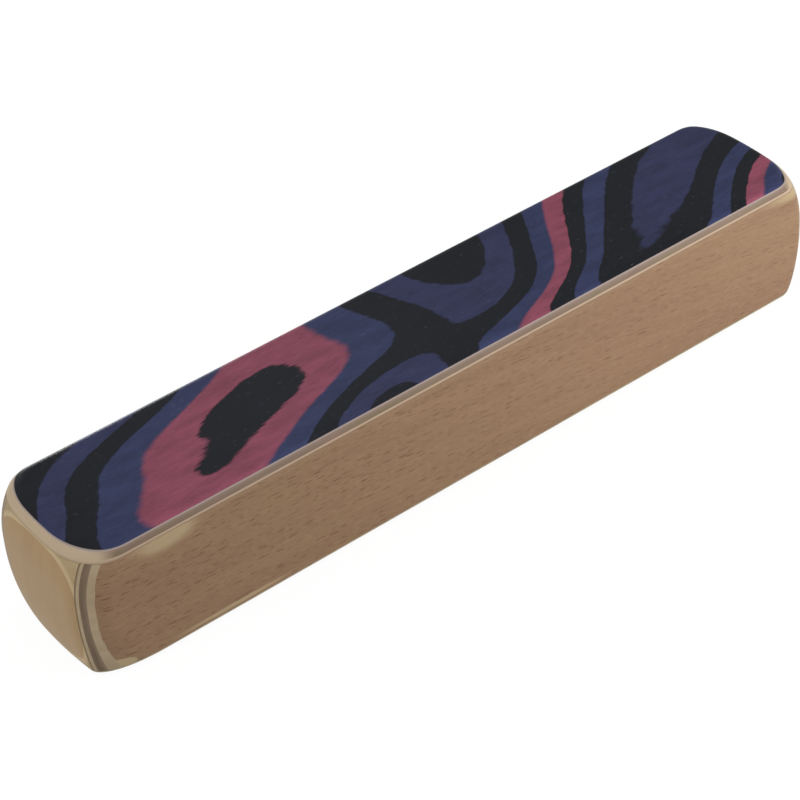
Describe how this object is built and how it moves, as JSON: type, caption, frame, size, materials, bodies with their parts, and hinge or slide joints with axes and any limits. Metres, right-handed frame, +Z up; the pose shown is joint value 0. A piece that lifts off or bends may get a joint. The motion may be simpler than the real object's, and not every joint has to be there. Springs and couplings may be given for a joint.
{
  "type": "wooden shaker",
  "caption": "Bar-shaped wooden shaker: a sealed, hand-held box of veneered plywood with rounded edges and ends, holding loose shot that rattles when it is shaken.",
  "frame": {"origin": "middle of the footprint, on the surface that the shaker rests on", "axes": "+X along the length, +Y from the front wall to the back wall, +Z up through the lid"},
  "size_m": [0.264, 0.045, 0.044],
  "materials": {
    "dyed_veneer": "dyed veneer striped black, navy and pink under satin lacquer",
    "beech": "beech veneer with short pore flecks, satin lacquer",
    "pale_ply": "pale sanded ply, satin lacquer",
    "core_ply": "darker sanded core ply, satin lacquer",
    "steel_shot": "bright steel balls"
  },
  "bodies": {
    "case": {"lid_face_veneer": "dyed_veneer", "lid_outer_ply": "pale_ply", "lid_core_ply": "core_ply", "lid_inner_ply": "pale_ply", "floor_face_veneer": "beech", "floor_outer_ply": "pale_ply", "floor_core_ply": "core_ply", "floor_inner_ply": "pale_ply", "front_wall_face_veneer": "beech", "front_wall_outer_ply": "pale_ply", "front_wall_core_ply": "core_ply", "front_wall_inner_ply": "pale_ply", "back_wall_face_veneer": "beech", "back_wall_outer_ply": "pale_ply", "back_wall_core_ply": "core_ply", "back_wall_inner_ply": "pale_ply", "left_end_face_board": "beech", "left_end_backing_block": "pale_ply", "right_end_face_board": "beech", "right_end_backing_block": "pale_ply"},
    "shot_1_1": {"shot_1_1": "steel_shot"},
    "shot_1_2": {"shot_1_2": "steel_shot"},
    "shot_1_3": {"shot_1_3": "steel_shot"},
    "shot_1_4": {"shot_1_4": "steel_shot"},
    "shot_1_5": {"shot_1_5": "steel_shot"},
    "shot_1_6": {"shot_1_6": "steel_shot"},
    "shot_1_7": {"shot_1_7": "steel_shot"},
    "shot_1_8": {"shot_1_8": "steel_shot"},
    "shot_2_1": {"shot_2_1": "steel_shot"},
    "shot_2_2": {"shot_2_2": "steel_shot"},
    "shot_2_3": {"shot_2_3": "steel_shot"},
    "shot_2_4": {"shot_2_4": "steel_shot"},
    "shot_2_5": {"shot_2_5": "steel_shot"},
    "shot_2_6": {"shot_2_6": "steel_shot"},
    "shot_2_7": {"shot_2_7": "steel_shot"},
    "shot_2_8": {"shot_2_8": "steel_shot"},
    "shot_3_1": {"shot_3_1": "steel_shot"},
    "shot_3_2": {"shot_3_2": "steel_shot"},
    "shot_3_3": {"shot_3_3": "steel_shot"},
    "shot_3_4": {"shot_3_4": "steel_shot"},
    "shot_3_5": {"shot_3_5": "steel_shot"},
    "shot_3_6": {"shot_3_6": "steel_shot"},
    "shot_3_7": {"shot_3_7": "steel_shot"},
    "shot_3_8": {"shot_3_8": "steel_shot"},
    "shot_4_1": {"shot_4_1": "steel_shot"},
    "shot_4_2": {"shot_4_2": "steel_shot"},
    "shot_4_3": {"shot_4_3": "steel_shot"},
    "shot_4_4": {"shot_4_4": "steel_shot"},
    "shot_4_5": {"shot_4_5": "steel_shot"},
    "shot_4_6": {"shot_4_6": "steel_shot"},
    "shot_4_7": {"shot_4_7": "steel_shot"},
    "shot_4_8": {"shot_4_8": "steel_shot"},
    "shot_5_1": {"shot_5_1": "steel_shot"},
    "shot_5_2": {"shot_5_2": "steel_shot"},
    "shot_5_3": {"shot_5_3": "steel_shot"},
    "shot_5_4": {"shot_5_4": "steel_shot"},
    "shot_5_5": {"shot_5_5": "steel_shot"},
    "shot_5_6": {"shot_5_6": "steel_shot"},
    "shot_5_7": {"shot_5_7": "steel_shot"},
    "shot_5_8": {"shot_5_8": "steel_shot"}
  },
  "joints": [
    {"name": "shot_1_1_slide", "type": "slide", "parent": "case", "child": "shot_1_1", "axis": [1, 0, 0], "range_m": [-0.03817, 0.16273]},
    {"name": "shot_1_2_slide", "type": "slide", "parent": "case", "child": "shot_1_2", "axis": [1, 0, 0], "range_m": [-0.03817, 0.16273]},
    {"name": "shot_1_3_slide", "type": "slide", "parent": "case", "child": "shot_1_3", "axis": [1, 0, 0], "range_m": [-0.03817, 0.16273]},
    {"name": "shot_1_4_slide", "type": "slide", "parent": "case", "child": "shot_1_4", "axis": [1, 0, 0], "range_m": [-0.03817, 0.16273]},
    {"name": "shot_1_5_slide", "type": "slide", "parent": "case", "child": "shot_1_5", "axis": [1, 0, 0], "range_m": [-0.03817, 0.16273]},
    {"name": "shot_1_6_slide", "type": "slide", "parent": "case", "child": "shot_1_6", "axis": [1, 0, 0], "range_m": [-0.03817, 0.16273]},
    {"name": "shot_1_7_slide", "type": "slide", "parent": "case", "child": "shot_1_7", "axis": [1, 0, 0], "range_m": [-0.03817, 0.16273]},
    {"name": "shot_1_8_slide", "type": "slide", "parent": "case", "child": "shot_1_8", "axis": [1, 0, 0], "range_m": [-0.03817, 0.16273]},
    {"name": "shot_2_1_slide", "type": "slide", "parent": "case", "child": "shot_2_1", "axis": [1, 0, 0], "range_m": [-0.11451, 0.08639]},
    {"name": "shot_2_2_slide", "type": "slide", "parent": "case", "child": "shot_2_2", "axis": [1, 0, 0], "range_m": [-0.11451, 0.08639]},
    {"name": "shot_2_3_slide", "type": "slide", "parent": "case", "child": "shot_2_3", "axis": [1, 0, 0], "range_m": [-0.11451, 0.08639]},
    {"name": "shot_2_4_slide", "type": "slide", "parent": "case", "child": "shot_2_4", "axis": [1, 0, 0], "range_m": [-0.11451, 0.08639]},
    {"name": "shot_2_5_slide", "type": "slide", "parent": "case", "child": "shot_2_5", "axis": [1, 0, 0], "range_m": [-0.11451, 0.08639]},
    {"name": "shot_2_6_slide", "type": "slide", "parent": "case", "child": "shot_2_6", "axis": [1, 0, 0], "range_m": [-0.11451, 0.08639]},
    {"name": "shot_2_7_slide", "type": "slide", "parent": "case", "child": "shot_2_7", "axis": [1, 0, 0], "range_m": [-0.11451, 0.08639]},
    {"name": "shot_2_8_slide", "type": "slide", "parent": "case", "child": "shot_2_8", "axis": [1, 0, 0], "range_m": [-0.11451, 0.08639]},
    {"name": "shot_3_1_slide", "type": "slide", "parent": "case", "child": "shot_3_1", "axis": [1, 0, 0], "range_m": [-0.19085, 0.01005]},
    {"name": "shot_3_2_slide", "type": "slide", "parent": "case", "child": "shot_3_2", "axis": [1, 0, 0], "range_m": [-0.19085, 0.01005]},
    {"name": "shot_3_3_slide", "type": "slide", "parent": "case", "child": "shot_3_3", "axis": [1, 0, 0], "range_m": [-0.19085, 0.01005]},
    {"name": "shot_3_4_slide", "type": "slide", "parent": "case", "child": "shot_3_4", "axis": [1, 0, 0], "range_m": [-0.19085, 0.01005]},
    {"name": "shot_3_5_slide", "type": "slide", "parent": "case", "child": "shot_3_5", "axis": [1, 0, 0], "range_m": [-0.19085, 0.01005]},
    {"name": "shot_3_6_slide", "type": "slide", "parent": "case", "child": "shot_3_6", "axis": [1, 0, 0], "range_m": [-0.19085, 0.01005]},
    {"name": "shot_3_7_slide", "type": "slide", "parent": "case", "child": "shot_3_7", "axis": [1, 0, 0], "range_m": [-0.19085, 0.01005]},
    {"name": "shot_3_8_slide", "type": "slide", "parent": "case", "child": "shot_3_8", "axis": [1, 0, 0], "range_m": [-0.19085, 0.01005]},
    {"name": "shot_4_1_slide", "type": "slide", "parent": "case", "child": "shot_4_1", "axis": [1, 0, 0], "range_m": [-0.0663, 0.1346]},
    {"name": "shot_4_2_slide", "type": "slide", "parent": "case", "child": "shot_4_2", "axis": [1, 0, 0], "range_m": [-0.0663, 0.1346]},
    {"name": "shot_4_3_slide", "type": "slide", "parent": "case", "child": "shot_4_3", "axis": [1, 0, 0], "range_m": [-0.0663, 0.1346]},
    {"name": "shot_4_4_slide", "type": "slide", "parent": "case", "child": "shot_4_4", "axis": [1, 0, 0], "range_m": [-0.0663, 0.1346]},
    {"name": "shot_4_5_slide", "type": "slide", "parent": "case", "child": "shot_4_5", "axis": [1, 0, 0], "range_m": [-0.0663, 0.1346]},
    {"name": "shot_4_6_slide", "type": "slide", "parent": "case", "child": "shot_4_6", "axis": [1, 0, 0], "range_m": [-0.0663, 0.1346]},
    {"name": "shot_4_7_slide", "type": "slide", "parent": "case", "child": "shot_4_7", "axis": [1, 0, 0], "range_m": [-0.0663, 0.1346]},
    {"name": "shot_4_8_slide", "type": "slide", "parent": "case", "child": "shot_4_8", "axis": [1, 0, 0], "range_m": [-0.0663, 0.1346]},
    {"name": "shot_5_1_slide", "type": "slide", "parent": "case", "child": "shot_5_1", "axis": [1, 0, 0], "range_m": [-0.14264, 0.05826]},
    {"name": "shot_5_2_slide", "type": "slide", "parent": "case", "child": "shot_5_2", "axis": [1, 0, 0], "range_m": [-0.14264, 0.05826]},
    {"name": "shot_5_3_slide", "type": "slide", "parent": "case", "child": "shot_5_3", "axis": [1, 0, 0], "range_m": [-0.14264, 0.05826]},
    {"name": "shot_5_4_slide", "type": "slide", "parent": "case", "child": "shot_5_4", "axis": [1, 0, 0], "range_m": [-0.14264, 0.05826]},
    {"name": "shot_5_5_slide", "type": "slide", "parent": "case", "child": "shot_5_5", "axis": [1, 0, 0], "range_m": [-0.14264, 0.05826]},
    {"name": "shot_5_6_slide", "type": "slide", "parent": "case", "child": "shot_5_6", "axis": [1, 0, 0], "range_m": [-0.14264, 0.05826]},
    {"name": "shot_5_7_slide", "type": "slide", "parent": "case", "child": "shot_5_7", "axis": [1, 0, 0], "range_m": [-0.14264, 0.05826]},
    {"name": "shot_5_8_slide", "type": "slide", "parent": "case", "child": "shot_5_8", "axis": [1, 0, 0], "range_m": [-0.14264, 0.05826]}
  ],
  "couplings": [
    {"joint": "shot_1_2_slide", "follows": "shot_1_1_slide", "ratio": 1},
    {"joint": "shot_1_3_slide", "follows": "shot_1_1_slide", "ratio": 1},
    {"joint": "shot_1_4_slide", "follows": "shot_1_1_slide", "ratio": 1},
    {"joint": "shot_1_5_slide", "follows": "shot_1_1_slide", "ratio": 1},
    {"joint": "shot_1_6_slide", "follows": "shot_1_1_slide", "ratio": 1},
    {"joint": "shot_1_7_slide", "follows": "shot_1_1_slide", "ratio": 1},
    {"joint": "shot_1_8_slide", "follows": "shot_1_1_slide", "ratio": 1},
    {"joint": "shot_2_2_slide", "follows": "shot_2_1_slide", "ratio": 1},
    {"joint": "shot_2_3_slide", "follows": "shot_2_1_slide", "ratio": 1},
    {"joint": "shot_2_4_slide", "follows": "shot_2_1_slide", "ratio": 1},
    {"joint": "shot_2_5_slide", "follows": "shot_2_1_slide", "ratio": 1},
    {"joint": "shot_2_6_slide", "follows": "shot_2_1_slide", "ratio": 1},
    {"joint": "shot_2_7_slide", "follows": "shot_2_1_slide", "ratio": 1},
    {"joint": "shot_2_8_slide", "follows": "shot_2_1_slide", "ratio": 1},
    {"joint": "shot_3_2_slide", "follows": "shot_3_1_slide", "ratio": 1},
    {"joint": "shot_3_3_slide", "follows": "shot_3_1_slide", "ratio": 1},
    {"joint": "shot_3_4_slide", "follows": "shot_3_1_slide", "ratio": 1},
    {"joint": "shot_3_5_slide", "follows": "shot_3_1_slide", "ratio": 1},
    {"joint": "shot_3_6_slide", "follows": "shot_3_1_slide", "ratio": 1},
    {"joint": "shot_3_7_slide", "follows": "shot_3_1_slide", "ratio": 1},
    {"joint": "shot_3_8_slide", "follows": "shot_3_1_slide", "ratio": 1},
    {"joint": "shot_4_2_slide", "follows": "shot_4_1_slide", "ratio": 1},
    {"joint": "shot_4_3_slide", "follows": "shot_4_1_slide", "ratio": 1},
    {"joint": "shot_4_4_slide", "follows": "shot_4_1_slide", "ratio": 1},
    {"joint": "shot_4_5_slide", "follows": "shot_4_1_slide", "ratio": 1},
    {"joint": "shot_4_6_slide", "follows": "shot_4_1_slide", "ratio": 1},
    {"joint": "shot_4_7_slide", "follows": "shot_4_1_slide", "ratio": 1},
    {"joint": "shot_4_8_slide", "follows": "shot_4_1_slide", "ratio": 1},
    {"joint": "shot_5_2_slide", "follows": "shot_5_1_slide", "ratio": 1},
    {"joint": "shot_5_3_slide", "follows": "shot_5_1_slide", "ratio": 1},
    {"joint": "shot_5_4_slide", "follows": "shot_5_1_slide", "ratio": 1},
    {"joint": "shot_5_5_slide", "follows": "shot_5_1_slide", "ratio": 1},
    {"joint": "shot_5_6_slide", "follows": "shot_5_1_slide", "ratio": 1},
    {"joint": "shot_5_7_slide", "follows": "shot_5_1_slide", "ratio": 1},
    {"joint": "shot_5_8_slide", "follows": "shot_5_1_slide", "ratio": 1}
  ]
}
